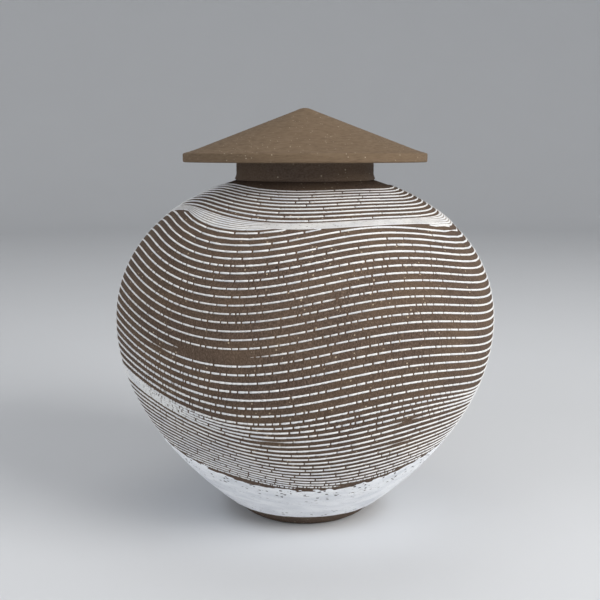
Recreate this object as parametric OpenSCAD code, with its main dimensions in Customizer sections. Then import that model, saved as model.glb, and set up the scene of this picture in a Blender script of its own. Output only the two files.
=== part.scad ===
/* [Pot wall] */
// Radius of the belly at its widest
belly_r = 106.5; // [95:0.5:120]
// Height of the widest line above the floor
belly_h = 112; // [105:1:120]
// Height of the shoulder's dome above the widest line
dome_h = 82.5; // [76:0.5:90]
// Fullness of the dome, where 2 is an ellipse and more is squarer
dome_fullness = 2.1; // [2:0.05:2.3]
// Thickness of the thrown wall
wall_t = 6; // [5:0.5:8]

/* [Foot] */
// Radius of the foot on the floor
foot_r = 34; // [32:0.5:36]
// Radius where the wall springs from the bevelled foot
spring_r = 37.3; // [36.5:0.1:40]
// Height of the bevel round the foot
foot_bevel = 2; // [1.5:0.5:3]
// Width of the ring that the pot stands on
foot_ring_w = 7; // [5:0.5:9]
// Depth of the turned recess inside the foot ring
foot_recess = 3; // [2:0.5:4]
// Height of the inside floor above the ground
floor_h = 9; // [8:0.5:11]
// Radius of the inside floor
floor_r = 37; // [34:0.5:38]

/* [Neck collar] */
// Outer radius of the collar luted on the shoulder
neck_r = 38.5; // [37:0.5:42]
// Wall of the collar
neck_t = 5.5; // [4.5:0.5:6.5]
// Height of the collar that shows below the lid
neck_show = 9.9; // [8:0.1:14]
// Depth of the scored seat that the collar is bedded in
neck_seat = 1; // [0.6:0.1:1.6]
// Swelling of the collar where it meets the shoulder
neck_swell = 0.8; // [0.4:0.1:1.2]
// Height of that swelling
neck_swell_h = 3; // [2:0.5:5]
// Rounding of the collar's lip
neck_lip = 1.2; // [0.6:0.1:1.6]

/* [Lid] */
// Radius of the lid
lid_r = 68; // [62:0.5:76]
// Height of the lid's upright edge
lid_edge_h = 4.8; // [4:0.1:6.5]
// Slope of the cone above level
lid_slope = 21; // [18:0.5:24]
// Width over which the cone eases out to the edge
lid_ease = 9; // [6:0.5:12]
// Rise of that easing at the edge
lid_ease_rise = 0.6; // [0.3:0.1:1]
// Radius of the rounded tip
tip_r = 9; // [6:0.5:14]
// Thickness of the lid, straight up through the cone
lid_t = 6.2; // [5:0.1:7.5]
// Width of the flat land under the edge
lid_land = 7; // [5:0.5:9]
// Rounding of the lid's upright edge
lid_edge_r = 0.9; // [0.5:0.1:1.5]
// Height of the seat above the lid's lower edge
seat_rise = 6; // [5:0.1:7]
// Width of the seat beyond the collar
seat_over = 2.5; // [1.5:0.5:4]

/* [Lid flange] */
// Gap between the flange and the collar's bore
flange_gap = 1.5; // [1:0.1:2.5]
// Wall of the flange
flange_t = 5; // [4:0.5:6]
// Depth that the flange reaches down into the collar
flange_h = 12; // [8:0.5:16]
// Rounding of the flange's lower lip
flange_lip = 1.2; // [0.6:0.1:1.6]

/* [Slip lines] */
// Length of wall, from the foot to the collar, that the lines are laid out on
layout_len = 245.9; // [235:0.1:260]
// Width of a slip line where it joins the clay
line_w = 1.5; // [1:0.1:1.8]
// Height of a slip line above the clay
line_rise = 0.6; // [0.4:0.1:1]
// Depth that the slip bites into the damp clay
slip_bite = 0.3; // [0.2:0.05:0.5]
// Distance over which a line runs out at a solid edge
line_fade = 4; // [2:0.5:8]
// Clear clay between a line's end and a solid edge
line_gap = 0.6; // [0.3:0.1:1]
// Height of a line where it ends
line_end_rise = 0.1; // [0.05:0.05:0.2]

/* [Shoulder lines] */
// Number of lines in the shoulder pass
shoulder_lines_n = 10; // [7:1:10]
// Distance down the wall from the collar to the first line
shoulder_start = 37.8; // [37:0.2:40]
// Spacing of the first lines
shoulder_pitch = 3.1; // [2.9:0.05:3.2]
// Spacing of the last lines
shoulder_last_pitch = 2.8; // [2.6:0.05:3]
// Sway of the lines once, three and four times round
shoulder_sway = [2.6, 3.6, 2.9]; // [0:0.1:4]
// Azimuth of the crest of each sway
shoulder_crest = [-112, 72, 21]; // [-180:1:180]
// Share of the sway that is left at the collar
shoulder_calm = 0.6; // [0.4:0.05:0.8]

/* [Belly lines] */
// Number of lines in the belly pass
belly_lines_n = 25; // [18:1:25]
// Distance up the wall to the first line
belly_start = 105.7; // [105:0.1:107]
// Spacing of the first lines
belly_pitch = 4.4; // [4.2:0.05:4.5]
// Spacing of the last lines
belly_last_pitch = 3.7; // [3.4:0.05:4]
// Sway of the lines once, three and four times round
belly_sway = [1.5, 3.6, 3.5]; // [0:0.1:5]
// Azimuth of the crest of each sway
belly_crest = [-139, 42, 18]; // [-180:1:180]
// Distance up the wall above which the waves stand still
belly_still = 150; // [140:1:160]

/* [Lower lines] */
// Number of lines in the lower pass
lower_lines_n = 15; // [10:1:15]
// Distance up the wall to the first line
lower_start = 54.4; // [54:0.2:56]
// Spacing of the first lines
lower_pitch = 2.6; // [2.5:0.05:2.7]
// Spacing of the last lines
lower_last_pitch = 3.4; // [3.2:0.05:3.5]
// Sway of the lines once, three and four times round
lower_sway = [4.8, 5.6, 2.2]; // [0:0.1:6]
// Azimuth of the crest of each sway
lower_crest = [-120, 44, 17]; // [-180:1:180]
// Share of the sway at the first line
lower_calm = 0.65; // [0.5:0.05:0.8]
// Turn of the waves round the pot at the first line
lower_turn = 28; // [20:1:36]
// Number of lines between the lower and the belly pass
between_lines_n = 3; // [2:1:3]

/* [Slip band and skirt] */
// Least width of the solid band under the shoulder lines
band_w = 4.2; // [3:0.1:5]
// Extra width where the band swells
band_swell = 6; // [0:0.5:8]
// Azimuth of that swelling
band_swell_at = 76; // [60:1:90]
// Thickness of the solid slip
coat_t = 0.7; // [0.5:0.1:1]
// Distance up the wall to the skirt's lower edge
skirt_start = 5; // [3:0.5:10]
// Mean distance up the wall to the skirt's upper edge
skirt_top = 61; // [56:0.5:62]
// Rise of the skirt's upper edge at the sides
skirt_lift = 12; // [6:0.5:12]

/* [Hidden] */
$fn = 128;

// Steps along each curve of the wall and round each ring of lines
curve_steps = 24;
lower_stations = 36;
belly_stations = 40;
shoulder_stations = 32;
coat_stations = 44;
coat_rows = 6;
waves = [1, 3, 4];

// The lower wall is a parabola from the foot's bevel to the widest line
function lower_r(z, r_low, z_low, r_top) =
    r_top - (r_top - r_low) * pow((belly_h - z) / (belly_h - z_low), 2);
function lower_curve(r_low, z_low, r_top) = [
    for (i = [0:curve_steps])
        let (z = z_low + (belly_h - z_low) * i / curve_steps)
            [lower_r(z, r_low, z_low, r_top), z]
];

// The shoulder is a superellipse from the widest line in to a given radius
function dome_angle(r, r_top) = acos(pow(r / r_top, dome_fullness / 2));
function dome_point(a, r_top, h) =
    [r_top * pow(cos(a), 2 / dome_fullness), belly_h + h * pow(sin(a), 2 / dome_fullness)];
function dome_curve(r_end, r_top, h) = [
    for (i = [1:curve_steps]) dome_point(dome_angle(r_end, r_top) * i / curve_steps, r_top, h)
];

outer_wall = concat(
    lower_curve(spring_r, foot_bevel, belly_r),
    dome_curve(neck_r, belly_r, dome_h));
inner_wall = concat(
    lower_curve(floor_r, floor_h, belly_r - wall_t),
    dome_curve(neck_r - neck_t, belly_r - wall_t, dome_h - wall_t));
neck_foot_z = outer_wall[len(outer_wall) - 1].y;
neck_bottom_z = neck_foot_z - neck_seat;
edge_z = neck_foot_z + neck_show;
seat_z = edge_z + seat_rise;
bore_r = neck_r - neck_t;

// Distance up the wall at each point of the outer curve, on the scale of the layout
step_lengths = [
    for (i = [1:len(outer_wall) - 1]) norm(outer_wall[i] - outer_wall[i - 1])
];
function sum_to(v, n) = n < 0 ? 0 : v[n] + sum_to(v, n - 1);
wall_end = layout_len;
layout_scale = wall_end / sum_to(step_lengths, len(step_lengths) - 1);
wall_runs = [
    for (i = [0:len(outer_wall) - 1]) layout_scale * sum_to(step_lengths, i - 1)
];
run_to_r = [for (i = [0:len(outer_wall) - 1]) [wall_runs[i], outer_wall[i].x]];
run_to_z = [for (i = [0:len(outer_wall) - 1]) [wall_runs[i], outer_wall[i].y]];
function wall_point(run) = [lookup(run, run_to_r), lookup(run, run_to_z)];
function wall_out(run) =
    let (along = wall_point(run + 1) - wall_point(run - 1))
        [along.y, -along.x] / norm(along);

// A point over the wall: distance up the wall, azimuth from the front, lift
function on_wall(run, az, lift) =
    let (p = wall_point(run) + lift * wall_out(run))
        [p.x * sin(az), -p.x * cos(az), p.y];

// Sway of a pass, as a sum of waves round the pot
function sway(az, size, crest) =
    size[0] * cos(waves[0] * (az - crest[0]))
    + size[1] * cos(waves[1] * (az - crest[1]))
    + size[2] * cos(waves[2] * (az - crest[2]));

// Below the belly the waves turn steadily round the pot
function turn(run) =
    lower_turn * pow(max(0, belly_still - run) / (belly_still - lower_start), 2);
function turned(crest, run) = [crest[0], crest[1] + turn(run), crest[2] + turn(run)];

// Distance of line k from the first of n lines whose spacing changes steadily
function along(k, n, first, last) = first * k + (last - first) * k * k / (2 * (n - 1));
function shoulder_run(k) = wall_end - shoulder_start
    + along(k, shoulder_lines_n, shoulder_pitch, shoulder_last_pitch);
function belly_run(k) = belly_start + along(k, belly_lines_n, belly_pitch, belly_last_pitch);
function lower_run(k) = lower_start + along(k, lower_lines_n, lower_pitch, lower_last_pitch);
lower_end = lower_run(lower_lines_n - 1);
belly_end = belly_run(belly_lines_n - 1);

// Paths of the three passes: the sway dies away towards the collar and the foot
function blend(a, b, f) = a + (b - a) * min(1, max(0, f));
function shoulder_path(az, run) =
    run + sway(az, shoulder_sway, shoulder_crest)
        * blend(shoulder_calm, 1, (wall_end - run) / shoulder_start);
function belly_path(az, run) = run + sway(az, belly_sway, turned(belly_crest, run));
function lower_path(az, run) =
    run + sway(az, lower_sway, turned(lower_crest, run))
        * blend(lower_calm, 1, (run - lower_start) / (lower_end - lower_start));
function between_path(az, k) =
    blend(lower_path(az, lower_end), belly_path(az, belly_start), k / (between_lines_n + 1));

// Edges of the solid band and of the skirt
band_swell_spread = 18;
function band_top(az) = shoulder_path(az, shoulder_run(0)) - shoulder_pitch / 2;
function band_width(az) =
    band_w + band_swell * exp(-pow((az - band_swell_at) / band_swell_spread, 2));
function band_bottom(az) =
    min(band_top(az) - band_width(az), belly_path(az, belly_end + belly_last_pitch / 2));
function skirt_edge(az) = skirt_top - skirt_lift * cos(2 * az);

// Room between a line and the solid slip above and below it, or the collar
function room(az, run) = min(band_bottom(az) - run, run - skirt_edge(az)) - line_w / 2;
function neck_room(run) = wall_end - neck_swell - run - line_w / 2;

// Azimuth of a station, from -180 to 180
function station(i, n) = -180 + 360 * (i % n) / n;

// Three-sided section of a line, lower where it runs out
function line_section(run, az, space) =
    let (lift = blend(line_end_rise, line_rise, (space - line_gap) / line_fade)) [
        on_wall(run - line_w / 2, az, -slip_bite),
        on_wall(run, az, lift),
        on_wall(run + line_w / 2, az, -slip_bite)
    ];

// Faces of one line: its three sides between open stations, and a cap at each end
function line_faces(first, n, open) = [
    for (i = [0:n - 1])
        let (a = first + 3 * i, b = first + 3 * ((i + 1) % n))
        let (here = open[i], next = open[(i + 1) % n], last = open[(i + n - 1) % n])
            each concat(
                here && next ? [for (c = [0:2]) each
                    [[a + c, b + c, b + (c + 1) % 3], [a + c, b + (c + 1) % 3, a + (c + 1) % 3]]]
                    : [],
                here && !last ? [[a, a + 1, a + 2]] : [],
                here && !next ? [[a, a + 2, a + 1]] : [])
];

// All lines of one pass in one solid of separate rings; paths is [run, room] by line
module line_rings(paths, n) {
    open = [for (p = paths) [for (q = p) q[1] > line_gap]];
    points = [
        for (p = paths)
            for (i = [0:n - 1])
                each line_section(p[i][0], station(i, n), p[i][1])
    ];
    faces = [for (j = [0:len(paths) - 1]) each line_faces(3 * n * j, n, open[j])];
    polyhedron(points = points, faces = faces, convexity = 12);
}

// A closed ring of slip from sections that all have the same number of corners
module coat_ring(sections) {
    n = len(sections);
    m = len(sections[0]);
    points = [for (s = sections) each s];
    faces = [
        for (i = [0:n - 1])
            for (c = [0:m - 1])
                let (a = m * i, b = m * ((i + 1) % n), d = (c + 1) % m)
                    each [[a + c, b + c, b + d], [a + c, b + d, a + d]]
    ];
    polyhedron(points = points, faces = faces, convexity = 12);
}

module jar_body() {
    color([0.42, 0.35, 0.30])
        rotate_extrude()
            polygon(concat(
                [[0, foot_recess], [foot_r - foot_ring_w, foot_recess], [foot_r - foot_ring_w, 0],
                    [foot_r, 0]],
                outer_wall,
                [[neck_r, neck_bottom_z], [bore_r, neck_bottom_z]],
                [for (i = [len(inner_wall) - 1:-1:0]) inner_wall[i]],
                [[0, floor_h]]));
}

// Quarter round: points on a corner of radius r, from angle a0 to a1
function corner(centre, r, a0, a1) = [
    for (i = [0:4]) let (a = a0 + (a1 - a0) * i / 4) centre + r * [cos(a), sin(a)]
];

module neck_collar() {
    color([0.40, 0.33, 0.28])
        rotate_extrude()
            polygon(concat(
                [[bore_r, neck_bottom_z], [neck_r, neck_bottom_z], [neck_r, neck_foot_z],
                    [neck_r + neck_swell, neck_foot_z + neck_swell],
                    [neck_r, neck_foot_z + neck_swell_h]],
                corner([neck_r - neck_lip, seat_z - neck_lip], neck_lip, 0, 90),
                corner([bore_r + neck_lip, seat_z - neck_lip], neck_lip, 90, 180)));
}

module lower_lines() {
    n = lower_stations;
    color([0.90, 0.89, 0.87])
        line_rings([
            for (k = [0:lower_lines_n - 1])
                [for (i = [0:n - 1])
                    let (az = station(i, n), run = lower_path(az, lower_run(k)))
                        [run, room(az, run)]]
        ], n);
}

module belly_lines() {
    n = belly_stations;
    color([0.92, 0.91, 0.89])
        line_rings(concat(
            [for (k = [1:between_lines_n])
                [for (i = [0:n - 1])
                    let (az = station(i, n), run = between_path(az, k))
                        [run, room(az, run)]]],
            [for (k = [0:belly_lines_n - 1])
                [for (i = [0:n - 1])
                    let (az = station(i, n), run = belly_path(az, belly_run(k)))
                        [run, room(az, run)]]]
        ), n);
}

module shoulder_lines() {
    n = shoulder_stations;
    color([0.88, 0.87, 0.84])
        line_rings([
            for (k = [0:shoulder_lines_n - 1])
                [for (i = [0:n - 1])
                    let (az = station(i, n), run = shoulder_path(az, shoulder_run(k)))
                        [run, neck_room(run)]]
        ], n);
}

module slip_band() {
    n = coat_stations;
    color([0.93, 0.93, 0.92])
        coat_ring([
            for (i = [0:n - 1])
                let (az = station(i, n), low = band_bottom(az), top = band_top(az))
                    [on_wall(low, az, -slip_bite), on_wall(low + coat_t, az, coat_t),
                        on_wall((low + top) / 2, az, coat_t),
                        on_wall(top - coat_t, az, coat_t), on_wall(top, az, -slip_bite)]
        ]);
}

module slip_skirt() {
    n = coat_stations;
    color([0.94, 0.94, 0.93])
        coat_ring([
            for (i = [0:n - 1])
                let (az = station(i, n), low = skirt_start, top = skirt_edge(az))
                    concat(
                        [for (j = [0:coat_rows])
                            on_wall(blend(low, top, j / coat_rows), az, coat_t)],
                        [for (j = [coat_rows:-1:0])
                            on_wall(blend(low, top, j / coat_rows), az, -slip_bite)])
        ]);
}

// Top of the lid: a cone with a rounded tip that eases out to the edge
edge_top_z = edge_z + lid_edge_h;
sharp_tip_z = edge_top_z - lid_ease_rise + lid_r * tan(lid_slope);
function cone_z(r) = sharp_tip_z - r * tan(lid_slope);
function ease_z(r) = lid_ease_rise * pow(max(0, r - lid_r + lid_ease) / lid_ease, 2);
tip_centre_z = sharp_tip_z - tip_r / cos(lid_slope);
ease_points = [
    for (i = [0:6]) let (r = lid_r - lid_ease + (lid_ease - lid_edge_r) * i / 6) [r, cone_z(r) + ease_z(r)]
];
tip_points = [for (i = [0:6]) let (a = 90 - lid_slope * i / 6)
    [tip_r * cos(a), tip_centre_z + tip_r * sin(a)]];
boss_in_r = bore_r - flange_gap - flange_t;
boss_out_r = neck_r + seat_over;
land_in_r = lid_r - lid_land;
hollow_edge_r = land_in_r - (cone_z(land_in_r) - lid_t - edge_z);

module lid_cone() {
    color([0.45, 0.39, 0.34])
        rotate_extrude()
            polygon(concat(
                [[0, cone_z(0) - lid_t]],
                [[boss_in_r, cone_z(boss_in_r) - lid_t], [boss_in_r, seat_z], [boss_out_r, seat_z],
                    [boss_out_r, cone_z(boss_out_r) - lid_t],
                    [hollow_edge_r, cone_z(hollow_edge_r) - lid_t], [land_in_r, edge_z]],
                corner([lid_r - lid_edge_r, edge_z + lid_edge_r], lid_edge_r, -90, 0),
                corner([lid_r - lid_edge_r, ease_points[6].y - lid_edge_r], lid_edge_r, 0, 90),
                [for (i = [5:-1:0]) ease_points[i]],
                [for (i = [6:-1:0]) tip_points[i]]));
}

module lid_flange() {
    r_out = bore_r - flange_gap;
    low = seat_z - flange_h;
    color([0.43, 0.37, 0.32])
        rotate_extrude()
            polygon(concat(
                [[boss_in_r, seat_z]],
                corner([boss_in_r + flange_lip, low + flange_lip], flange_lip, 180, 270),
                corner([r_out - flange_lip, low + flange_lip], flange_lip, 270, 360),
                [[r_out, seat_z]]));
}

jar_body();
neck_collar();
lower_lines();
belly_lines();
shoulder_lines();
slip_band();
slip_skirt();
lid_cone();
lid_flange();
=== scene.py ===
import math

import bpy
import numpy as np
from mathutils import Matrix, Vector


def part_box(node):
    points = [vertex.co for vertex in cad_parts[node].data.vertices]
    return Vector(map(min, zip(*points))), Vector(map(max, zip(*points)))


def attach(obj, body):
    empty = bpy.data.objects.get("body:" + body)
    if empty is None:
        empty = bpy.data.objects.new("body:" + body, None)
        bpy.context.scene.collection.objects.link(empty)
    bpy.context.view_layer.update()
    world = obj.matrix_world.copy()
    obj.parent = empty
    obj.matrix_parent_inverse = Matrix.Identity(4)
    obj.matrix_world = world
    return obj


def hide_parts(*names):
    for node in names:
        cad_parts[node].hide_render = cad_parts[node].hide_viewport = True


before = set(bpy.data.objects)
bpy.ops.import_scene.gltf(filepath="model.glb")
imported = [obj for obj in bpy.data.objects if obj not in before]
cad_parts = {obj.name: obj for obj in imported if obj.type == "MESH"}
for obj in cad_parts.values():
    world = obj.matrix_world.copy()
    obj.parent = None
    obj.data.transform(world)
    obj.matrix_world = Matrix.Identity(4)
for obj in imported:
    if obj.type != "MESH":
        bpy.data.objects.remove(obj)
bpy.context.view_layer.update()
MM = 0.001

# Sizes of the pot and lid that the frame gives
BELLY_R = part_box("jar_body")[1][0]
COLLAR_TOP_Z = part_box("neck_collar")[1][2]
COLLAR_BOTTOM_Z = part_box("neck_collar")[0][2]
EDGE_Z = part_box("lid_cone")[0][2]
TIP_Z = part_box("lid_cone")[1][2]
LID_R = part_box("lid_cone")[1][0]
SEAT_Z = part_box("lid_flange")[1][2]

# Sizes of the pot's wall, as in the part
BELLY_H = 112 * MM
DOME_H = 82.5 * MM
DOME_FULLNESS = 2.1
WALL_T = 6 * MM
FOOT_R = 34 * MM
SPRING_R = 37.3 * MM
FOOT_BEVEL = 2 * MM
FOOT_RING_W = 7 * MM
FOOT_RECESS = 3 * MM
FLOOR_H = 9 * MM
FLOOR_R = 37 * MM
NECK_R = 38.5 * MM
NECK_T = 5.5 * MM
NECK_SWELL = 0.8 * MM
NECK_SWELL_H = 3 * MM
NECK_LIP = 1.2 * MM
NECK_SEAT = 1 * MM

# Sizes of the lid, as in the part
LID_SLOPE = math.radians(21)
LID_EASE = 9 * MM
LID_EASE_RISE = 0.6 * MM
LID_T = 6.2 * MM
LID_LAND = 7 * MM
LID_EDGE_R = 0.9 * MM
LID_EDGE_H = 4.8 * MM
TIP_R = 9 * MM
SEAT_OVER = 2.5 * MM
FLANGE_IN_R = 26.5 * MM

# Pattern of the slip lines, as in the part. Azimuths and crests are in degrees, with 0
# at the front and 90 at the photograph's right
LAYOUT_LEN = 245.9 * MM
WAVES = (1, 3, 4)
WAVE_TURNS = (0, 1, 1)
SHOULDER = dict(n=10, start=LAYOUT_LEN - 37.8 * MM, first=3.1 * MM, last=2.8 * MM,
                sway=(2.6 * MM, 3.6 * MM, 2.9 * MM), crest=(-112, 72, 21))
BELLY = dict(n=25, start=105.7 * MM, first=4.4 * MM, last=3.7 * MM,
             sway=(1.5 * MM, 3.6 * MM, 3.5 * MM), crest=(-139, 42, 18))
LOWER = dict(n=15, start=54.4 * MM, first=2.6 * MM, last=3.4 * MM,
             sway=(4.8 * MM, 5.6 * MM, 2.2 * MM), crest=(-120, 44, 17))
SHOULDER_CALM = 0.6
LOWER_CALM = 0.65
LOWER_TURN = 28
BELLY_STILL = 150 * MM
BETWEEN_N = 3
BAND_W = 4.2 * MM
BAND_SWELL = 6 * MM
BAND_SWELL_AT = 76
BAND_SWELL_SPREAD = 18
SKIRT_TOP = 61 * MM
SKIRT_LIFT = 12 * MM
SLIP_BITE = 0.3 * MM

# Sizes that follow the photograph more closely than the part's: where the skirt starts,
# over what distance a line gives way to the band or the skirt, and how far it runs in
SKIRT_START = 10 * MM
LINE_FADE = 0.75 * MM
LINE_OVERLAP = 0.3 * MM

# Places where the slip lies thicker or thinner than usual, and one place of painted
# shade: azimuth, distance up the wall, the spread of each, and the change as a share of
# the usual
SLIP_LOADS_AND_SHADE = (
    (-52, 110 * MM, 26, 15 * MM, 0.7),
    (-76, 112 * MM, 14, 20 * MM, 0.4),
    (-50, 101 * MM, 20, 4 * MM, 0.3),
    (48, 192 * MM, 34, 13 * MM, 0.4),
    (-12, 150 * MM, 34, 18 * MM, -0.2),
    (78, 140 * MM, 24, 60 * MM, 0.25),
    # Under the collar at the front: narrower top lines, browned as painted shade of the lid's
    # shadow
    (12, 234 * MM, 44, 7 * MM, -0.35),
    (-28, 133.5 * MM, 17, 1.6 * MM, -1.3),
    (-10, 86.5 * MM, 5, 1.8 * MM, -0.9),
    (8, 162.6 * MM, 1.4, 1.8 * MM, -1.3),
    (30, 97 * MM, 4, 1.6 * MM, -0.9),
    (29, 82.6 * MM, 5, 1.6 * MM, -0.7),
    (150, 112 * MM, 30, 10 * MM, 0.6),
    (-140, 188 * MM, 34, 12 * MM, 0.4),
    (168, 158 * MM, 30, 20 * MM, -0.2),
    (-120, 141 * MM, 12, 1.6 * MM, -1.3),
)
MOST_SLIP = 2.2

# Fineness of the meshes
PROFILE_STEPS = 120
INNER_STEPS = 22
WALL_COLUMNS = 400
WALL_STEP = 1.5 * MM
LINE_SAMPLES = 3601
COAT_COLUMNS = 640
BAND_ROWS = 37
SKIRT_ROWS = 90
LATHE_COLUMNS = 288
LID_ROWS = 90
LID_UNDER_STEP = 4 * MM
TIP_STEPS = 10
COLLAR_STEP = 0.7 * MM
STAGE_COLUMNS = 96
STAGE_STEPS = 16

# Seeds of all that is scattered
SEEDS = dict(clay_broad=3, clay_fine=5, lower_slip=11, belly_slip=12, shoulder_slip=13,
             band_rough=21, band_thin=22, skirt_rough=31, skirt_pits=32, skirt_thin=33)


def srgb(red, green, blue):
    """A display colour of 0 to 255 as the linear colour that a shader takes."""
    parts = [channel / 255 for channel in (red, green, blue)]
    return (*(p / 12.92 if p <= 0.04045 else ((p + 0.055) / 1.055) ** 2.4 for p in parts), 1)


# Colours
CLAY = srgb(93, 77, 66)
CLAY_DARK = srgb(62, 49, 41)
CLAY_PALE = srgb(122, 105, 91)
CLAY_WARM = srgb(112, 93, 73)
COLLAR_BROWN = srgb(112, 96, 84)
LID_BROWN = srgb(114, 96, 76)
GROG = srgb(178, 162, 140)
PIT = srgb(44, 35, 30)
SLIP = srgb(234, 234, 233)
SLIP_COOL = srgb(210, 214, 221)
# Browned slip where it is thin, also used as painted shade on the top lines under the lid
SLIP_THIN_AND_SHADE = srgb(134, 120, 108)
SKIRT_WHITE = srgb(247, 249, 252)
FLOOR_PALE = srgb(214, 216, 219)


def blend(a, b, share):
    return a + (b - a) * np.clip(share, 0, 1)


def fade_in(value, start, over):
    """0 up to the start, and 1 from one stretch past it."""
    return blend(0, 1, (value - start) / over)


def fade_out(value, start, over):
    """1 up to the start, and 0 from one stretch past it."""
    return blend(1, 0, (value - start) / over)


def hump(value, at, spread):
    """1 at a place, falling off smoothly on both sides."""
    return np.exp(-((value - at) / spread) ** 2)


# The wall's outer curve, and distances along it


def lower_curve(r_low, z_low, r_top, steps=PROFILE_STEPS):
    """The parabola from the foot to the widest line."""
    z = np.linspace(z_low, BELLY_H, steps + 1)
    return np.stack([r_top - (r_top - r_low) * ((BELLY_H - z) / (BELLY_H - z_low)) ** 2, z], 1)


def dome_curve(r_end, r_top, height, steps=PROFILE_STEPS):
    """The superellipse from the widest line in to a given radius."""
    end = math.acos((r_end / r_top) ** (DOME_FULLNESS / 2))
    a = np.linspace(0, end, steps + 1)[1:]
    power = 2 / DOME_FULLNESS
    return np.stack([r_top * np.cos(a) ** power, BELLY_H + height * np.sin(a) ** power], 1)


OUTER = np.concatenate([lower_curve(SPRING_R, FOOT_BEVEL, BELLY_R),
                        dome_curve(NECK_R, BELLY_R, DOME_H)])
NECK_FOOT_Z = OUTER[-1, 1]
OUTER_RUN = np.concatenate([[0], np.cumsum(np.hypot(*np.diff(OUTER, axis=0).T))])
OUTER_RUN *= LAYOUT_LEN / OUTER_RUN[-1]


def wall_radius(run):
    return np.interp(run, OUTER_RUN, OUTER[:, 0])


def wall_height(run):
    return np.interp(run, OUTER_RUN, OUTER[:, 1])


def sines(az):
    """How far to the right and to the back each azimuth points."""
    turn = np.radians(az)
    return np.sin(turn), -np.cos(turn)


def all_round(columns):
    """Evenly spaced azimuths, from behind and round by the left."""
    return np.arange(columns) * 360 / columns - 180


# Smooth noise from a hashed lattice, the same on each run

# Factors and shifts that scatter a cell's numbers, and how many cells the object lies
# from the lattice's corner, so that no cell number is negative
AXIS_FACTORS = (73856093, 19349663, 83492791)
SEED_FACTOR = 2654435761
FIRST_FACTOR = 6364136223846793005
FIRST_SHIFT = 33
LAST_FACTOR = 0x9E3779B97F4A7C15
LAST_SHIFT = 40
HALF_RANGE = 1 << (64 - LAST_SHIFT - 1)
CELLS_TO_CORNER = 4096


def lattice(cells, seed):
    """A number from -1 to 1 for each whole-numbered cell."""
    x, y, z = (cells[..., axis].astype(np.uint64) * np.uint64(factor)
               for axis, factor in enumerate(AXIS_FACTORS))
    mixed = (x ^ y ^ z ^ np.uint64(seed * SEED_FACTOR)) * np.uint64(FIRST_FACTOR)
    mixed = (mixed >> np.uint64(FIRST_SHIFT)) * np.uint64(LAST_FACTOR)
    return (mixed >> np.uint64(LAST_SHIFT)).astype(float) / HALF_RANGE - 1


def noise(points, cell, seed):
    """Smooth noise from -1 to 1 over points, with cells of a size and a named seed."""
    at = points / cell + CELLS_TO_CORNER
    low = np.floor(at)
    part = at - low
    part = part * part * (3 - 2 * part)
    total = 0
    for corner in np.ndindex(2, 2, 2):
        weight = np.prod(np.where(corner, part, 1 - part), axis=-1)
        total = total + weight * lattice(low.astype(np.int64) + corner, SEEDS[seed])
    return total


# The hand-made unevenness of the clay

CLAY_SINK = 0.12 * MM
CLAY_BROAD = 0.08 * MM
CLAY_BROAD_CELL = 16 * MM
CLAY_FINE = 0.035 * MM
CLAY_FINE_CELL = 4.5 * MM

# The step that the wall's slope is measured over, and a guard against dividing by nothing
SLOPE_STEP = 0.5 * MM
LEAST_SLOPE = 1e-9


def clay_relief(run, az):
    """Lift of the clay's surface, which is sunk by a little more than it can rise."""
    right, back = sines(az)
    r = wall_radius(run)
    place = np.stack(np.broadcast_arrays(r * right, r * back, wall_height(run)), -1)
    broad = noise(place, CLAY_BROAD_CELL, "clay_broad")
    fine = noise(place, CLAY_FINE_CELL, "clay_fine")
    return -CLAY_SINK + CLAY_BROAD * broad + CLAY_FINE * fine


def on_wall(run, az, lift):
    """Points over the wall: distance up it, azimuth from the front, and lift."""
    run, az, lift = np.broadcast_arrays(run, az, lift)
    out_r = wall_height(run + SLOPE_STEP) - wall_height(run - SLOPE_STEP)
    out_z = wall_radius(run - SLOPE_STEP) - wall_radius(run + SLOPE_STEP)
    size = np.maximum(np.hypot(out_r, out_z), LEAST_SLOPE)
    r = wall_radius(run) + lift * out_r / size
    right, back = sines(az)
    return np.stack([r * right, r * back, wall_height(run) + lift * out_z / size], -1)


# The pattern's paths


def line_run(line, line_pass):
    """Distance of a line up the wall, before the sway."""
    n, first, last = line_pass["n"], line_pass["first"], line_pass["last"]
    along = first * line + (last - first) * line * line / (2 * (n - 1))
    return line_pass["start"] + along


def sway(az, line_pass, turn=0):
    """Rise and fall round the jar, as a sum of waves."""
    total = 0
    for wave, turns, size, crest in zip(WAVES, WAVE_TURNS, line_pass["sway"],
                                        line_pass["crest"]):
        total = total + size * np.cos(np.radians(wave * (az - crest - turns * turn)))
    return total


def lower_turn(run):
    """How far the waves have turned round the jar below the belly."""
    return LOWER_TURN * (np.maximum(0, BELLY_STILL - run) / (BELLY_STILL - LOWER["start"])) ** 2


LOWER_END = line_run(LOWER["n"] - 1, LOWER)
BELLY_END = line_run(BELLY["n"] - 1, BELLY)


def shoulder_sway(run, az):
    rest = (LAYOUT_LEN - run) / (LAYOUT_LEN - SHOULDER["start"])
    return sway(az, SHOULDER) * blend(SHOULDER_CALM, 1, rest)


def belly_sway(run, az):
    return sway(az, BELLY, lower_turn(run))


def lower_sway(run, az):
    share = (run - LOWER["start"]) / (LOWER_END - LOWER["start"])
    return sway(az, LOWER, lower_turn(run)) * blend(LOWER_CALM, 1, share)


def between_path(line, az):
    """A line between the lower pass and the belly pass."""
    low = LOWER_END + lower_sway(LOWER_END, az)
    high = BELLY["start"] + belly_sway(BELLY["start"], az)
    return blend(low, high, line / (BETWEEN_N + 1))


def band_top(az):
    return SHOULDER["start"] + shoulder_sway(SHOULDER["start"], az) - SHOULDER["first"] / 2


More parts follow.
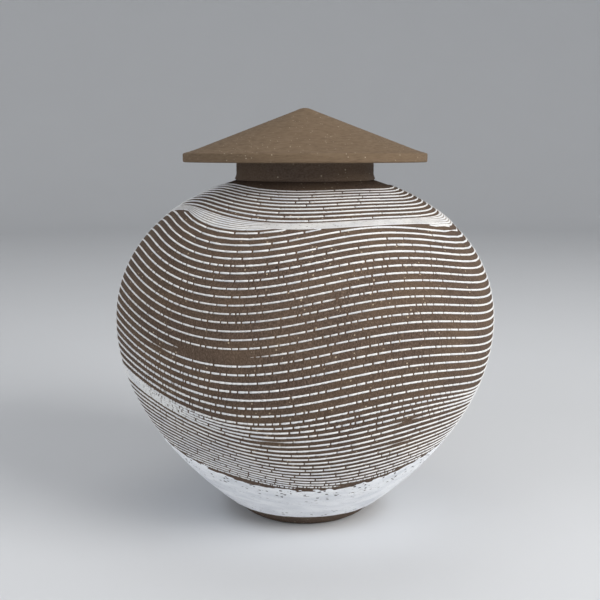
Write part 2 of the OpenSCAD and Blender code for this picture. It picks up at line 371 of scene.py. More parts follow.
def band_bottom(az):
    width = BAND_W + BAND_SWELL * hump(az, BAND_SWELL_AT, BAND_SWELL_SPREAD)
    top_line = BELLY_END + BELLY["last"] / 2
    return np.minimum(band_top(az) - width, top_line + belly_sway(top_line, az))


def skirt_bottom(az):
    return SKIRT_START + 0 * az


def skirt_edge(az):
    return SKIRT_TOP - SKIRT_LIFT * np.cos(np.radians(2 * az))


def flow_height(run, az):
    """Height on the unswayed layout, so that texture runs along the lines."""
    high = blend(0, 1, (run - BELLY_END) / (SHOULDER["start"] - BELLY_END))
    low = blend(1, 0, (run - LOWER_END) / (BELLY["start"] - LOWER_END))
    drift = (high * shoulder_sway(run, az) + low * lower_sway(run, az)
             + (1 - high - low) * belly_sway(run, az))
    return run - drift


def flow_place(run, az):
    """Texture coordinates that go round the pot and along the lines."""
    right, back = sines(az)
    r = wall_radius(run)
    return np.stack(np.broadcast_arrays(r * right, r * back, flow_height(run, az)), -1)


def slip_load_and_shade(run, az):
    """How thick the slip lies, where 1 is usual and 0 is bare; under the collar at the front a
    lower value also gives painted shade.
    """
    total = 1.0
    for at, height, spread, rise, amount in SLIP_LOADS_AND_SHADE:
        away = (az - at + 180) % 360 - 180
        total = total + amount * np.exp(-(away / spread) ** 2 - ((run - height) / rise) ** 2)
    return np.clip(total, 0, MOST_SLIP)


# Meshes


def make_piece(name, points, faces, material, body, replaced, flow=None, thin=None):
    """A smooth mesh that rides on a body and stands for a node."""
    mesh = bpy.data.meshes.new(name)
    mesh.from_pydata(points.reshape(-1, 3).tolist(), [], faces)
    mesh.polygons.foreach_set("use_smooth", np.ones(len(mesh.polygons), bool))
    if flow is not None:
        mesh.attributes.new("flow", "FLOAT_VECTOR", "POINT").data.foreach_set(
            "vector", flow.astype(np.float32).ravel())
    if thin is not None:
        mesh.attributes.new("thin", "FLOAT", "POINT").data.foreach_set(
            "value", thin.astype(np.float32).ravel())
    mesh.materials.append(material)
    piece = bpy.data.objects.new(name, mesh)
    bpy.context.scene.collection.objects.link(piece)
    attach(piece, body)
    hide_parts(replaced)


def ring_faces(sections, corners, start=0):
    """Quads of a closed ring of sections, each a closed loop of corners."""
    i = np.arange(sections)[:, None] * corners
    after = (np.arange(sections)[:, None] + 1) % sections * corners
    j = np.arange(corners)[None, :]
    beside = (j + 1) % corners
    quads = np.stack([i + j, after + j, after + beside, i + beside], -1)
    return (quads.reshape(-1, 4) + start).tolist()


def lathe(profile, columns, relief):
    """Points and faces of a closed solid of revolution.

    The profile runs from one point on the axis to another, and anticlockwise
    seen with the axis on its left. The relief moves its rows in and out and up
    and down at each azimuth.
    """
    az = all_round(columns)
    right, back = sines(az)
    inner = profile[1:-1]
    shift = relief(inner, az)
    r = inner[:, :1] + shift[..., 0]
    z = inner[:, 1:] + shift[..., 1]
    rows = np.stack([r * right, r * back, z], -1)
    poles = [[0, 0, profile[0][1]], [0, 0, profile[-1][1]]]
    points = np.concatenate([rows.reshape(-1, 3), poles])
    j = np.arange(columns)
    beside = (j + 1) % columns
    i = np.arange(len(inner) - 1)[:, None] * columns
    quads = np.stack([i + j, i + beside, i + columns + beside, i + columns + j], -1)
    last = (len(inner) - 1) * columns
    low_pole, high_pole = len(points) - 2, len(points) - 1
    caps = [[low_pole, b, a] for a, b in zip(j.tolist(), beside.tolist())]
    caps += [[high_pole, last + a, last + b] for a, b in zip(j.tolist(), beside.tolist())]
    return points, quads.reshape(-1, 4).tolist() + caps


def arc(centre, radius, first, last, steps=6):
    """Points of an arc between two angles in degrees."""
    turn = np.radians(np.linspace(first, last, steps + 1))
    return np.stack([centre[0] + radius * np.cos(turn), centre[1] + radius * np.sin(turn)], 1)


def divided(profile, step):
    """The profile with its long sides cut into steps."""
    parts = []
    for a, b in zip(profile[:-1], profile[1:]):
        count = max(1, math.ceil(math.dist(a, b) / step))
        parts.append(a + (b - a) * np.arange(count)[:, None] / count)
    return np.concatenate([*parts, profile[-1:]])


# Materials

# Texture scales, here and in each material's own cells, are in cells per metre
GROG_CELLS = 560
PIT_CELLS = (300, 300, 170)
MOTTLE_CELLS = (38, 38, 60)
SLIP_TONE_CELLS = (60, 60, 160)
SKIRT_PIT_CELLS = (430, 430, 640)
FLOOR_CELLS = (6, 6, 6)
FLOOR_CHANGE = 1.03
FLOOR_ROUGHNESS = 0.9
WORN_EDGE = 0.09
SPECULAR = 0.25
CHOICE_EDGE = 0.02


class Nodes:
    """A material's node tree, with short calls for what the finishes use."""

    def __init__(self, name):
        self.material = bpy.data.materials.new(name)
        self.material.use_nodes = True
        self.tree = self.material.node_tree
        self.shader = self.tree.nodes["Principled BSDF"]

    def set(self, node, name, value):
        """Link an output to an input, or give the input a value."""
        if isinstance(value, bpy.types.NodeSocket):
            self.tree.links.new(value, node.inputs[name])
        else:
            node.inputs[name].default_value = value

    def place(self, attribute, cells):
        """Coordinates from a point attribute, or the object's own, scaled."""
        if attribute:
            source = self.tree.nodes.new("ShaderNodeAttribute")
            source.attribute_name = attribute
            vector = source.outputs["Vector"]
        else:
            vector = self.tree.nodes.new("ShaderNodeTexCoord").outputs["Object"]
        mapping = self.tree.nodes.new("ShaderNodeMapping")
        self.set(mapping, "Vector", vector)
        self.set(mapping, "Scale", cells)
        return mapping.outputs["Vector"]

    def value(self, attribute):
        source = self.tree.nodes.new("ShaderNodeAttribute")
        source.attribute_name = attribute
        return source.outputs["Fac"]

    def noise(self, vector, detail=2.0, roughness=0.5):
        node = self.tree.nodes.new("ShaderNodeTexNoise")
        self.set(node, "Vector", vector)
        self.set(node, "Scale", 1.0)
        self.set(node, "Detail", detail)
        self.set(node, "Roughness", roughness)
        return node.outputs["Fac"]

    def spots(self, vector):
        """Distance to scattered points, and a random colour for each."""
        node = self.tree.nodes.new("ShaderNodeTexVoronoi")
        self.set(node, "Vector", vector)
        self.set(node, "Scale", 1.0)
        return node.outputs["Distance"], node.outputs["Color"]

    def ramp(self, factor, low, high, bottom=0.0, top=1.0):
        """From bottom to top as the factor goes from low to high, and no further."""
        node = self.tree.nodes.new("ShaderNodeMapRange")
        node.clamp = True
        for name, value in (("Value", factor), ("From Min", low), ("From Max", high),
                            ("To Min", bottom), ("To Max", top)):
            self.set(node, name, value)
        return node.outputs["Result"]

    def chosen(self, pick, share):
        """1 where a random brightness is in the top share of its range, else 0."""
        return self.ramp(pick, 1 - share, 1 + CHOICE_EDGE - share)

    def math(self, operation, a, b):
        node = self.tree.nodes.new("ShaderNodeMath")
        node.operation = operation
        self.set(node, 0, a)
        self.set(node, 1, b)
        return node.outputs[0]

    def mix(self, factor, a, b):
        node = self.tree.nodes.new("ShaderNodeMix")
        node.data_type = "RGBA"
        self.set(node, "Factor", factor)
        self.set(node, "A", a)
        self.set(node, "B", b)
        return node.outputs["Result"]

    def finish(self, colour, roughness, height, depth):
        """Join colour, roughness and bump to the shader, which shines little."""
        self.set(self.shader, "Base Color", colour)
        self.set(self.shader, "Roughness", roughness)
        bump = self.tree.nodes.new("ShaderNodeBump")
        self.set(bump, "Strength", 1.0)
        self.set(bump, "Distance", depth)
        self.set(bump, "Height", height)
        self.set(self.shader, "Normal", bump.outputs["Normal"])
        self.set(self.shader, "Specular IOR Level", SPECULAR)
        return self.material


def clay_colour(m, flow, base, cells, contrast, grog_cells):
    """Mottled clay with grog, and the grain that it is made from."""
    grain = m.noise(m.place(flow, cells), detail=3.0, roughness=0.6)
    tone = m.noise(m.place(flow, MOTTLE_CELLS))
    dark = m.ramp(grain, low=0.56, high=0.34, top=contrast)
    pale = m.ramp(grain, low=0.56, high=0.74, top=contrast)
    warm = m.ramp(tone, low=0.35, high=0.7, top=0.35)
    colour = m.mix(dark, base, CLAY_DARK)
    colour = m.mix(pale, colour, CLAY_PALE)
    colour = m.mix(warm, colour, CLAY_WARM)
    near, pick = m.spots(m.place(flow, (grog_cells, grog_cells, grog_cells)))
    specks = m.ramp(near, low=0.3, high=0.18)
    grog = m.math("MULTIPLY", specks, m.ramp(pick, low=0.8, high=0.84))
    return m.mix(grog, colour, GROG), grain


def clay_material(name, base, flow, cells, contrast, depth, pitted, grog_cells=GROG_CELLS):
    """Fired stoneware clay: grain, grog and small pits."""
    m = Nodes(name)
    colour, grain = clay_colour(m, flow, base, cells, contrast, grog_cells)
    near, pick = m.spots(m.place(flow, PIT_CELLS))
    pits = m.math("MULTIPLY", m.ramp(near, low=0.26, high=0.1), m.chosen(pick, pitted))
    colour = m.mix(pits, colour, PIT)
    height = m.math("SUBTRACT", grain, pits)
    roughness = m.ramp(grain, low=0.3, high=0.7, bottom=0.95, top=0.8)
    return m.finish(colour, roughness, height, depth)


def slip_material(name, cells, depth, bare, pitted=0.0, white=SLIP):
    """White slip with a chalky grain that lets the clay through where it is thin, and that browns
    where the thin value carries painted shade.
    """
    m = Nodes(name)
    grain = m.noise(m.place("flow", cells), detail=3.0, roughness=0.65)
    tone = m.noise(m.place("flow", SLIP_TONE_CELLS))
    cool = m.ramp(tone, low=0.4, high=0.7, top=0.6)
    # Browner where the slip is thin, and as painted shade under the lid on the top lines
    thinness_and_shade = m.ramp(m.value("thin"), low=0.25, high=1.0, top=0.85)
    worn = m.ramp(grain, low=bare, high=bare - WORN_EDGE, top=0.8)
    colour = m.mix(cool, white, SLIP_COOL)
    colour = m.mix(thinness_and_shade, colour, SLIP_THIN_AND_SHADE)
    colour = m.mix(worn, colour, CLAY)
    height = grain
    if pitted:
        near, pick = m.spots(m.place("flow", SKIRT_PIT_CELLS))
        zone = m.ramp(m.value("thin"), low=0.05, high=0.22)
        picked = m.math("MULTIPLY", m.chosen(pick, pitted), zone)
        pits = m.math("MULTIPLY", m.ramp(near, low=0.42, high=0.28), picked)
        colour = m.mix(pits, colour, PIT)
        height = m.math("SUBTRACT", grain, pits)
    roughness = m.ramp(grain, low=0.3, high=0.7, bottom=0.85, top=0.68)
    return m.finish(colour, roughness, height, depth)


def floor_material():
    """A pale floor that is a little uneven in tone."""
    m = Nodes("floor_pale")
    tone = m.noise(m.place("", FLOOR_CELLS))
    paler = tuple(min(1, c * FLOOR_CHANGE) for c in FLOOR_PALE[:3]) + (1,)
    m.set(m.shader, "Base Color", m.mix(tone, FLOOR_PALE, paler))
    m.set(m.shader, "Roughness", FLOOR_ROUGHNESS)
    return m.material


WALL_CLAY = clay_material("wall_clay", CLAY, "flow", cells=(1500, 1500, 900), contrast=0.9,
                          depth=0.2 * MM, pitted=0.07)
COLLAR_CLAY = clay_material("collar_clay", COLLAR_BROWN, "", cells=(900, 900, 1600),
                            contrast=0.5, depth=0.06 * MM, pitted=0.02)
LID_CLAY = clay_material("lid_clay", LID_BROWN, "", cells=(260, 260, 1800), contrast=0.35,
                         depth=0.05 * MM, pitted=0.012, grog_cells=850)
FLANGE_CLAY = clay_material("flange_clay", CLAY, "", cells=(900, 900, 1600), contrast=0.5,
                            depth=0.06 * MM, pitted=0.02)
LINE_SLIP = slip_material("line_slip", cells=(1600, 1600, 1900), depth=0.1 * MM, bare=0.4)
BAND_SLIP = slip_material("band_slip", cells=(500, 500, 2300), depth=0.12 * MM, bare=0.4)
SKIRT_SLIP = slip_material("skirt_slip", cells=(800, 800, 1500), depth=0.12 * MM, bare=0.36,
                           pitted=0.3, white=SKIRT_WHITE)


# The pot's wall, inside and out


def wall_piece():
    runs = np.arange(0, LAYOUT_LEN, WALL_STEP)
    outer = np.stack([wall_radius(runs), wall_height(runs)], 1)
    inner_dome = dome_curve(NECK_R - NECK_T, BELLY_R - WALL_T, DOME_H - WALL_T, INNER_STEPS)
    inner_low = lower_curve(FLOOR_R, FLOOR_H, BELLY_R - WALL_T, INNER_STEPS)
    seat_z = NECK_FOOT_Z - NECK_SEAT
    ring_in_r = FOOT_R - FOOT_RING_W
    foot = [[ring_in_r, FOOT_RECESS], [ring_in_r, 0], [FOOT_R, 0]]
    seat = [[NECK_R, NECK_FOOT_Z], [NECK_R, seat_z], [NECK_R - NECK_T, seat_z]]
    profile = np.concatenate([[[0, FOOT_RECESS]], foot, outer, seat, inner_dome[::-1],
                              inner_low[::-1], [[0, FLOOR_H]]])
    first, last = len(foot), len(foot) + len(runs)

    def relief(inner, az):
        """The clay's unevenness on the outer curve, but for its two ends."""
        shift = np.zeros((len(inner), len(az), 2))
        depth = clay_relief(runs[1:-1, None], az[None, :])
        slope = np.gradient(outer, axis=0)
        slope /= np.hypot(*slope.T)[:, None]
        shift[first + 1:last - 1, :, 0] = depth * slope[1:-1, 1:]
        shift[first + 1:last - 1, :, 1] = -depth * slope[1:-1, :1]
        return shift

    points, faces = lathe(profile, WALL_COLUMNS, relief)
    flow = points.copy()
    rings = flow[:-2].reshape(len(profile) - 2, WALL_COLUMNS, 3)
    rings[first:last, :, 2] = flow_height(runs[:, None], all_round(WALL_COLUMNS)[None, :])
    make_piece("jar_wall", points, faces, WALL_CLAY, "jar", "jar_body", flow)


wall_piece()


# The lines of slip

# Beads are what cracks cut a line into. They are fine at the lower left and just over the
# skirt, and longer by these shares low down, near the top and at the right
BEAD_USUAL = 3.6 * MM
BEAD_FINE = 1.9 * MM
FINE_AZ = -48
FINE_AZ_SPREAD = 26
FINE_RUN = 114 * MM
FINE_RUN_SPREAD = 14 * MM
LONGER_LOW = 1.8
LONGER_TOP = 3.5
LONGER_RIGHT = 1.6

# Where the fade of each zone begins, and over what stretch: up the wall, in azimuth, and
# for the last one above the skirt's edge
LOW_END = (88 * MM, 10 * MM)
TOP_START = (178 * MM, 18 * MM)
RIGHT_START = (40, 25)
RIGHT_END = (100, 30)
OVER_SKIRT_END = (2 * MM, 6 * MM)

# Cracks: how far they stray from even spacing, their half width as a share of the line's
# crack width, and the share that goes down under the clay
CRACK_STRAY = 0.36
CRACK_HALVES = (0.1, 0.3)
DEEP_CRACKS = 0.62

# Heights along a bead as shares of the line's rise, and the length of its rounded ends
DEEP_CRACK = -0.4
SHALLOW_CRACK = 0.35
BEAD_END = 0.9
BEAD_SWELL = (-0.16, 0.1)
BEAD_END_LEN = 0.3 * MM

# Section of a line: places across it in half widths, and heights as shares
LINE_ACROSS = np.array([-1, -0.62, 0, 0.62, 1])
LINE_HEIGHTS = np.array([0, 0.78, 1, 0.78, 0])
LINE_CORNERS = len(LINE_ACROSS)
LEAST_WIDTH = 0.35
WIDTH_STRAY = 0.1
CRACK_WIDTH = 0.75
HEIGHT_PER_LOAD = 1.5
FADE_SINK = 0.35 * MM
THIN_AND_SHADE_BELOW = 1.25


def bead_length(run, az):
    """Usual length of slip between two cracks."""
    fine = np.exp(-((az - FINE_AZ) / FINE_AZ_SPREAD) ** 2
                  - ((run - FINE_RUN) / FINE_RUN_SPREAD) ** 2)
    right = fade_in(az, *RIGHT_START) * fade_out(az, *RIGHT_END)
    length = BEAD_USUAL + (BEAD_FINE - BEAD_USUAL) * fine
    length = length * (1 + LONGER_RIGHT * right)
    length = length * (1 + LONGER_TOP * fade_in(run, *TOP_START))
    length = length * (1 + LONGER_LOW * fade_out(run, *LOW_END))
    return blend(length, BEAD_FINE, fade_out(run - skirt_edge(az), *OVER_SKIRT_END))


def line_stations(path, rng, crack_width, middles):
    """Azimuths round one line, with its height as a share at each.

    The line is cut into beads: each has two ends in cracks, two rounded
    shoulders and one middle or more, so that a long bead still follows the wall.
    """
    fine = np.linspace(-180, 180, LINE_SAMPLES)
    run = path(fine)
    stretch = np.radians(fine[1] - fine[0]) * wall_radius(run)
    cracks_so_far = np.concatenate([[0], np.cumsum((stretch / bead_length(run, fine))[:-1])])
    count = int(cracks_so_far[-1])
    stray = rng.uniform(-CRACK_STRAY, CRACK_STRAY, count)
    order = (np.arange(count) + stray + 0.5) * cracks_so_far[-1] / count
    at = np.interp(order, cracks_so_far, fine)
    r = wall_radius(path(at))
    half_gap = np.degrees(rng.uniform(*CRACK_HALVES, count) * crack_width / r)
    start, end = at + half_gap, np.roll(at - half_gap, -1)
    end[-1] += 360
    room = np.maximum(end - start, 0)
    ease = np.minimum(np.degrees(BEAD_END_LEN / r), room / 3)
    crack = np.where(rng.uniform(0, 1, count) < DEEP_CRACKS, DEEP_CRACK, SHALLOW_CRACK)[:, None]
    swell = 1 + rng.uniform(*BEAD_SWELL, count)[:, None]
    crown = np.concatenate([[BEAD_END], np.ones(middles), [BEAD_END]])
    heights = np.concatenate([crack, swell * crown, np.roll(crack, -1)], 1)
    along = (room - 2 * ease)[:, None] * np.linspace(0, 1, middles + 2)
    azimuths = np.concatenate([start[:, None], (start + ease)[:, None] + along, end[:, None]], 1)
    return (azimuths.ravel() + 180) % 360 - 180, heights.ravel()


def slip_line(path, rng, width, rise, crack_width, middles, room):
    """Sections of one line of slip, with the flow and thinness at each corner, where thinness
    also carries painted shade under the collar at the front.
    """
    az, heights = line_stations(path, rng, crack_width, middles)
    run = path(az)
    load_and_shade = slip_load_and_shade(run, az)
    raised = heights > 0
    wobble = 1 + WIDTH_STRAY * rng.uniform(-1, 1, len(az))
    half = width * (LEAST_WIDTH + (1 - LEAST_WIDTH) * load_and_shade) * wobble
    half = half * np.where(raised, 1, CRACK_WIDTH) / 2
    fill = np.clip(room(run, az) / LINE_FADE, 0, 1) * np.minimum(load_and_shade * HEIGHT_PER_LOAD, 1)
    lift = rise * heights
    lift = np.where(raised, lift * fill - FADE_SINK * (1 - fill), lift)
    runs = run[:, None] + LINE_ACROSS * half[:, None]
    tops = LINE_HEIGHTS * lift[:, None]
    lifts = clay_relief(run, az)[:, None] + np.where(LINE_HEIGHTS > 0, tops, -SLIP_BITE)
    points = on_wall(runs, az[:, None], lifts)
    # Thinness, and under the collar at the front painted shade, which browns the line
    thin = np.clip(THIN_AND_SHADE_BELOW - load_and_shade, 0, 1)
    return points, flow_place(runs, az[:, None]), np.repeat(thin, LINE_CORNERS)


def line_group(name, paths, replaced, width, rise, crack_width, middles, room):
    """One piece made of all the lines of a pass."""
    rng = np.random.default_rng(SEEDS[name])
    points, flows, thins, faces, start = [], [], [], [], 0
    for path in paths:
        sections, flow, thin = slip_line(path, rng, width, rise, crack_width, middles, room)
        faces += ring_faces(len(sections), LINE_CORNERS, start)
        start += len(sections) * LINE_CORNERS
        points.append(sections)
        flows.append(flow)
        thins.append(thin)
    make_piece(name, np.concatenate(points), faces, LINE_SLIP, "jar", replaced,
               np.concatenate(flows), np.concatenate(thins))


def solid_room(run, az):
    """Distance from the band or the skirt, which end the lines below or above."""
    return np.minimum(band_bottom(az) - run, run - skirt_edge(az)) + LINE_OVERLAP


def collar_room(run, az):
    """Distance from the swelling at the collar's foot."""
    return LAYOUT_LEN - NECK_SWELL - run


def swayed(line_pass, sway_of):
    """The paths of a pass, each a distance up the wall for an azimuth."""
    runs = [line_run(line, line_pass) for line in range(line_pass["n"])]
    return [lambda az, run=run: run + sway_of(run, az) for run in runs]


between_paths = [lambda az, line=line: between_path(line, az) for line in range(1, BETWEEN_N + 1)]

line_group("lower_slip", swayed(LOWER, lower_sway), "lower_lines", width=1.2 * MM,
           rise=0.42 * MM, crack_width=0.8 * MM, middles=3, room=solid_room)
line_group("belly_slip", between_paths + swayed(BELLY, belly_sway), "belly_lines",
           width=1.15 * MM, rise=0.5 * MM, crack_width=1.3 * MM, middles=1, room=solid_room)
line_group("shoulder_slip", swayed(SHOULDER, shoulder_sway), "shoulder_lines",
           width=1.05 * MM, rise=0.5 * MM, crack_width=0.6 * MM, middles=8, room=collar_room)


# The solid band

# The combed strands: their height in shares of the band's rise, and how thin they are
BAND_RISE = 0.55 * MM
BAND_STRANDS = 6
STRAND_ROUNDNESS = 0.5
BAND_BASE = 0.25
BAND_GROOVES = 0.67
BAND_ROUGH = 0.08
BAND_ROUGH_STRETCH = (1, 1, 4)
BAND_ROUGH_CELL = 2.2 * MM
BAND_EDGE_GAIN = 14
BAND_THIN_BASE = 0.12
BAND_THIN_GROOVES = 2.1
BAND_THIN_LEAST = 0.8
BAND_THIN_PATCHY = 0.3
BAND_THIN_CELL = 5 * MM
COAT_BITE = 3 * SLIP_BITE


def coat(name, low, high, rows, lift, thin, material, replaced):
    """A ring of solid slip whose top follows lift(share, run, az)."""
    az = all_round(COAT_COLUMNS)[:, None]
    share = np.linspace(0, 1, rows)[None, :]
    run = low(az) + (high(az) - low(az)) * share
    top = on_wall(run, az, clay_relief(run, az) + lift(share, run, az))
    under_run = run[:, [-1, rows // 2, 0]]
    under = on_wall(under_run, az, -COAT_BITE)
    points = np.concatenate([top, under], 1)
    runs = np.concatenate([run, under_run], 1)
    thins = np.concatenate([thin(share, run, az), np.zeros_like(under_run)], 1)
    faces = ring_faces(COAT_COLUMNS, points.shape[1])
    make_piece(name, points, faces, material, "jar", replaced, flow_place(runs, az), thins)


def strands(share):
    """1 on the strands and 0 in the grooves between them."""
    return np.abs(np.sin(np.pi * BAND_STRANDS * share)) ** STRAND_ROUNDNESS


def band_lift(share, run, az):
    """Combed strands that run along the band."""
    edge = np.clip(np.minimum(share, 1 - share) * BAND_EDGE_GAIN, 0, 1)
    rough = noise(flow_place(run, az) * BAND_ROUGH_STRETCH, BAND_ROUGH_CELL, "band_rough")
    height = BAND_BASE + BAND_GROOVES * strands(share) + BAND_ROUGH * rough
    return edge * BAND_RISE * height - (1 - edge) * SLIP_BITE


def band_thin(share, run, az):
    """Thin slip in the grooves, more so in some patches."""
    patchy = noise(flow_place(run, az), BAND_THIN_CELL, "band_thin")
    grooves = (1 - strands(share)) * (BAND_THIN_LEAST + BAND_THIN_PATCHY * patchy)
    return BAND_THIN_BASE + BAND_THIN_GROOVES * grooves


coat("band_slip", band_bottom, band_top, BAND_ROWS, band_lift, band_thin, BAND_SLIP, "slip_band")


# The skirt

# Its roughness, the pits below its upper edge, how steep its edges are, and where it is thin
SKIRT_RISE = 0.45 * MM
SKIRT_ROUGH = 0.2
SKIRT_ROUGH_STRETCH = (1, 1, 2.2)
SKIRT_ROUGH_CELL = 3 * MM
PIT_DEPTH = 1.6 * MM
PIT_STRETCH = (1, 1, 1.5)
PIT_CELL = 1.5 * MM
PIT_BAR = 0.45
PITS_BELOW_EDGE = 9 * MM
PITS_SPREAD = 7 * MM
EDGE_RAGGED = 0.35
EDGE_SLOPE_H = 5 * MM
FOOT_SLOPE_H = 1 * MM
SKIRT_THIN_BASE = 0.05
SKIRT_THIN_UPPER = 0.2
UPPER_BELOW_EDGE = 7 * MM
UPPER_SPREAD = 8 * MM
SKIRT_THIN_STREAK = 0.3
STREAK_RUN = 16 * MM
STREAK_SPREAD = 3 * MM
STREAK_PATCHY = 0.5
STREAK_CELL = 9 * MM


def skirt_lift(share, run, az):
    """Uneven slip with pits that open to the clay near its upper edge."""
    place = flow_place(run, az)
    rough = noise(place * SKIRT_ROUGH_STRETCH, SKIRT_ROUGH_CELL, "skirt_rough")
    pits = np.clip(noise(place * PIT_STRETCH, PIT_CELL, "skirt_pits") - PIT_BAR, 0, 1)
    below = skirt_edge(az) - run
    ragged = np.clip(below / EDGE_SLOPE_H + EDGE_RAGGED * rough, 0, 1)
    foot = np.clip((run - SKIRT_START) / FOOT_SLOPE_H, 0, 1)
    height = SKIRT_RISE * (1 - SKIRT_ROUGH + SKIRT_ROUGH * rough)
    height = height - PIT_DEPTH * pits * hump(below, PITS_BELOW_EDGE, PITS_SPREAD)
    return height * ragged * foot - SLIP_BITE * (1 - ragged * foot)


def skirt_thin(share, run, az):
    """Thinner slip near the upper edge, and in a patchy streak above the foot."""
    upper = hump(skirt_edge(az) - run, UPPER_BELOW_EDGE, UPPER_SPREAD)
    patchy = noise(flow_place(run, az), STREAK_CELL, "skirt_thin")
    streak = hump(run, STREAK_RUN, STREAK_SPREAD) * (1 - STREAK_PATCHY + STREAK_PATCHY * patchy)
    return SKIRT_THIN_BASE + SKIRT_THIN_UPPER * upper + SKIRT_THIN_STREAK * streak


coat("skirt_slip", skirt_bottom, skirt_edge, SKIRT_ROWS, skirt_lift, skirt_thin, SKIRT_SLIP,
     "slip_skirt")


# The lid and the collar

EDGE_TOP_Z = EDGE_Z + LID_EDGE_H
SHARP_TIP_Z = EDGE_TOP_Z - LID_EASE_RISE + LID_R * math.tan(LID_SLOPE)

# Throwing rings: their height, and how many radians they turn through in a metre
LID_RINGS = 0.055 * MM
LID_RING_TURN = 1.9 / MM
LID_RING_DRIFT = 2.2
LID_RING_DRIFT_TURN = 0.31 / MM
LID_RINGS_FROM_R = 12 * MM
LID_RINGS_LEAST = 0.35
LID_RINGS_SPREAD = 16 * MM
LID_SINK = 0.06 * MM
LID_SINK_FROM_R = 5 * MM
COLLAR_RINGS = 0.05 * MM
COLLAR_RING_TURN = 2.6 / MM
COLLAR_RINGS_FROM_H = 1 * MM
TOLERANCE = 0.01 * MM


def cone_z(r):
    return SHARP_TIP_Z - r * np.tan(LID_SLOPE)


def ease_z(r):
    """How much the cone lifts towards its edge."""
    return LID_EASE_RISE * (np.maximum(0, r - LID_R + LID_EASE) / LID_EASE) ** 2


def lid_relief(inner, az):
    """Throwing rings on the lid's top, strongest near its edge."""
    r = inner[:, :1] + 0 * az
    on_top = inner[:, 1:] > EDGE_TOP_Z - LID_EDGE_R
    drift = LID_RING_DRIFT * np.sin(r * LID_RING_DRIFT_TURN)
    rings = np.sin(r * LID_RING_TURN + drift) * (r > LID_RINGS_FROM_R)
    strength = LID_RINGS_LEAST + (1 - LID_RINGS_LEAST) * hump(r, LID_R, LID_RINGS_SPREAD)
    shift = np.zeros((*r.shape, 2))
    shift[..., 1] = on_top * (LID_RINGS * rings * strength - LID_SINK) * (r > LID_SINK_FROM_R)
    return shift


def lid_piece():
    tip_centre = (0, SHARP_TIP_Z - TIP_R / math.cos(LID_SLOPE))
    tip = arc(tip_centre, TIP_R, 90 - math.degrees(LID_SLOPE), 90, TIP_STEPS)
    top_r = np.linspace(LID_R - LID_EDGE_R, tip[0, 0], LID_ROWS)[:-1]
    top = np.stack([top_r, cone_z(top_r) + ease_z(top_r)], 1)
    land_r = LID_R - LID_LAND
    hollow_r = land_r - (cone_z(land_r) - LID_T - EDGE_Z)
    boss_r = NECK_R + SEAT_OVER
    under = [[0, cone_z(0) - LID_T], [FLANGE_IN_R, cone_z(FLANGE_IN_R) - LID_T],
             [FLANGE_IN_R, SEAT_Z], [boss_r, SEAT_Z], [boss_r, cone_z(boss_r) - LID_T],
             [hollow_r, cone_z(hollow_r) - LID_T], [land_r, EDGE_Z]]
    side_r = LID_R - LID_EDGE_R
    profile = np.concatenate([
        divided(np.array(under), LID_UNDER_STEP),
        arc((side_r, EDGE_Z + LID_EDGE_R), LID_EDGE_R, -90, 0),
        arc((side_r, top[0, 1] - LID_EDGE_R), LID_EDGE_R, 0, 90),
        top[1:], tip[:-1], [[0, TIP_Z]]])
    points, faces = lathe(profile, LATHE_COLUMNS, lid_relief)
    make_piece("lid_top", points, faces, LID_CLAY, "lid", "lid_cone")


def collar_piece():
    bore = NECK_R - NECK_T
    lip_z = COLLAR_TOP_Z - NECK_LIP
    foot = [[bore, COLLAR_BOTTOM_Z], [NECK_R, COLLAR_BOTTOM_Z], [NECK_R, NECK_FOOT_Z],
            [NECK_R + NECK_SWELL, NECK_FOOT_Z + NECK_SWELL]]
    side = np.array([[NECK_R, NECK_FOOT_Z + NECK_SWELL_H], [NECK_R, lip_z]])
    profile = np.concatenate([
        foot, divided(side, COLLAR_STEP)[:-1],
        arc((NECK_R - NECK_LIP, lip_z), NECK_LIP, 0, 90),
        arc((bore + NECK_LIP, lip_z), NECK_LIP, 90, 180)])
    az = all_round(LATHE_COLUMNS)[:, None]
    r, z = profile[:, 0][None, :], profile[:, 1][None, :]
    upright = (np.abs(r - NECK_R) < TOLERANCE) & (z > NECK_FOOT_Z + COLLAR_RINGS_FROM_H)
    r = r - upright * COLLAR_RINGS * (1 + np.sin(z * COLLAR_RING_TURN))
    right, back = sines(az)
    points = np.stack([r * right, r * back, z + 0 * az], -1)
    faces = ring_faces(LATHE_COLUMNS, len(profile))
    make_piece("collar", points, faces, COLLAR_CLAY, "jar", "neck_collar")


lid_piece()
collar_piece()
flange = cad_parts["lid_flange"]
flange.data.materials.clear()
flange.data.materials.append(FLANGE_CLAY)


# The camera, where the photograph's was

FRAME_PX = 600
FOCAL_PX = 900
HORIZON_PX = 153.5
SENSOR = 36
CAMERA_AT = (-2.8 * MM, -510.6 * MM, 204.3 * MM)

camera_data = bpy.data.cameras.new("camera")
camera_data.sensor_width = SENSOR
camera_data.lens = SENSOR * FOCAL_PX / FRAME_PX
camera = bpy.data.objects.new("camera", camera_data)
camera.location = CAMERA_AT
down = math.atan((FRAME_PX / 2 - HORIZON_PX) / FOCAL_PX)
camera.rotation_euler = (math.pi / 2 - down, 0, 0)
bpy.context.scene.collection.objects.link(camera)
bpy.context.scene.camera = camera


# The floor with its raised backdrop, and the lamps

FLOOR_FLAT_R = 1
BACKDROP_R = 3
BACKDROP_BEND = 1
BACKDROP_H = 3.2
LAMPS_AIM = np.array([0, 0, 0.11])
ROOM_LIGHT = 0.4


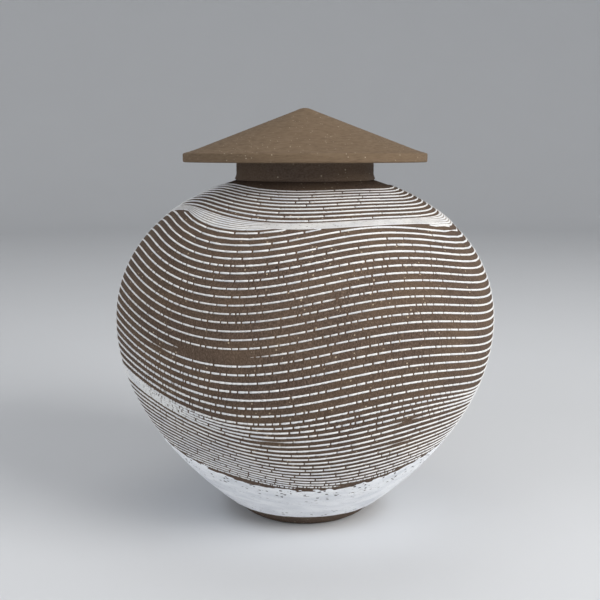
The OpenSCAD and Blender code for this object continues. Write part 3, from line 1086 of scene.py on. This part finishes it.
def stage_piece():
    """A wide floor that curves up into a backdrop on all sides."""
    bend_r = BACKDROP_R - BACKDROP_BEND
    bend = arc((bend_r, BACKDROP_BEND), BACKDROP_BEND, -90, 0, STAGE_STEPS)
    profile = np.concatenate([[[FLOOR_FLAT_R, 0]], bend, [[BACKDROP_R, BACKDROP_H]]])
    r, z = profile[:, :1], profile[:, 1:]
    az = all_round(STAGE_COLUMNS)[None, :]
    right, back = sines(az)
    rings = np.stack([r * right, r * back, z + 0 * az], -1)
    points = np.concatenate([rings.reshape(-1, 3), [[0, 0, 0]]])
    middle = len(points) - 1
    faces = []
    for j in range(STAGE_COLUMNS):
        k = (j + 1) % STAGE_COLUMNS
        faces.append([middle, j, k])
        for low in range(0, middle - STAGE_COLUMNS, STAGE_COLUMNS):
            high = low + STAGE_COLUMNS
            faces.append([low + j, high + j, high + k, low + k])
    mesh = bpy.data.meshes.new("floor")
    mesh.from_pydata(points.tolist(), [], faces)
    mesh.polygons.foreach_set("use_smooth", np.ones(len(mesh.polygons), bool))
    mesh.materials.append(floor_material())
    floor = bpy.data.objects.new("floor", mesh)
    bpy.context.scene.collection.objects.link(floor)


def lamp(name, place, size, watts, colour):
    """A square soft lamp aimed at about the pot's middle."""
    data = bpy.data.lights.new(name, "AREA")
    data.shape = "SQUARE"
    data.size = size
    data.energy = watts
    data.color = colour
    light = bpy.data.objects.new(name, data)
    light.location = place
    reach = LAMPS_AIM - np.array(place)
    flat = math.hypot(reach[0], reach[1])
    light.rotation_euler = (math.pi / 2 + math.atan2(reach[2], flat), 0,
                            math.atan2(-reach[0], reach[1]))
    bpy.context.scene.collection.objects.link(light)


stage_piece()
lamp("key", place=(1.15, -0.8, 0.85), size=0.9, watts=23, colour=(1.0, 0.985, 0.96))
lamp("fill", place=(-1.2, -0.9, 0.7), size=1.0, watts=7.5, colour=(0.95, 0.97, 1.0))
lamp("top", place=(0.0, 0.35, 1.6), size=1.0, watts=4, colour=(1.0, 1.0, 1.0))

world = bpy.data.worlds.new("soft_room")
world.use_nodes = True
background = world.node_tree.nodes["Background"]
background.inputs["Color"].default_value = (1, 1, 1, 1)
background.inputs["Strength"].default_value = ROOM_LIGHT
bpy.context.scene.world = world
bpy.context.scene.view_settings.view_transform = "Standard"
